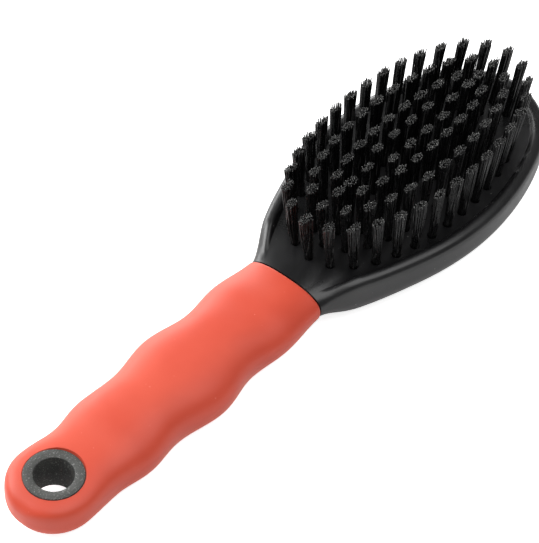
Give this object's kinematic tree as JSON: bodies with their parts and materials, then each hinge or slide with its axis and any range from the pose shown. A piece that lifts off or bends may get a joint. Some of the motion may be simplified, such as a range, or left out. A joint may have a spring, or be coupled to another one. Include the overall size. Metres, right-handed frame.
{
  "type": "bristle brush",
  "caption": "Oval-headed pet grooming brush with upright bristle tufts, raised rim, wavy soft grip and a hanging hole in the butt.",
  "frame": {"origin": "under the middle of the brush, on the surface that it lies on", "axes": "+X towards the tip of the head, +Z the way the bristles point, +Y across the head"},
  "size_m": [0.221, 0.0606, 0.0341],
  "materials": {
    "black_moulding": "polished black moulding, spark-textured round the hanging hole",
    "soft_grip": "matte soft-touch rubber, orange red",
    "bristle": "black nylon filament",
    "anchor_wire": "plain drawn flat wire"
  },
  "bodies": {
    "root": {"head_and_core": "black_moulding", "grip_sleeve": "soft_grip", "anchors_ring_1": "anchor_wire", "tufts_ring_1_pair_01": "bristle", "tufts_ring_1_pair_02": "bristle", "tufts_ring_1_pair_03": "bristle", "tufts_ring_1_pair_04": "bristle", "tufts_ring_1_pair_05": "bristle", "tufts_ring_1_pair_06": "bristle", "tufts_ring_1_pair_07": "bristle", "tufts_ring_1_pair_08": "bristle", "tufts_ring_1_pair_09": "bristle", "tufts_ring_1_pair_10": "bristle", "tufts_ring_1_pair_11": "bristle", "tufts_ring_1_pair_12": "bristle", "tufts_ring_1_pair_13": "bristle", "tufts_ring_1_pair_14": "bristle", "tufts_ring_1_pair_15": "bristle", "tufts_ring_1_pair_16": "bristle", "anchors_ring_2": "anchor_wire", "tufts_ring_2_pair_01": "bristle", "tufts_ring_2_pair_02": "bristle", "tufts_ring_2_pair_03": "bristle", "tufts_ring_2_pair_04": "bristle", "tufts_ring_2_pair_05": "bristle", "tufts_ring_2_pair_06": "bristle", "tufts_ring_2_pair_07": "bristle", "tufts_ring_2_pair_08": "bristle", "tufts_ring_2_pair_09": "bristle", "tufts_ring_2_pair_10": "bristle", "tufts_ring_2_pair_11": "bristle", "tufts_ring_2_pair_12": "bristle", "tufts_ring_2_pair_13": "bristle", "anchors_ring_3": "anchor_wire", "tufts_ring_3_pair_01": "bristle", "tufts_ring_3_pair_02": "bristle", "tufts_ring_3_pair_03": "bristle", "tufts_ring_3_pair_04": "bristle", "tufts_ring_3_pair_05": "bristle", "tufts_ring_3_pair_06": "bristle", "tufts_ring_3_pair_07": "bristle", "tufts_ring_3_pair_08": "bristle", "tufts_ring_3_pair_09": "bristle", "tufts_ring_3_pair_10": "bristle", "anchors_ring_4": "anchor_wire", "tufts_ring_4_pair_01": "bristle", "tufts_ring_4_pair_02": "bristle", "tufts_ring_4_pair_03": "bristle", "tufts_ring_4_pair_04": "bristle", "tufts_ring_4_pair_05": "bristle", "tufts_ring_4_pair_06": "bristle"}
  },
  "joints": []
}
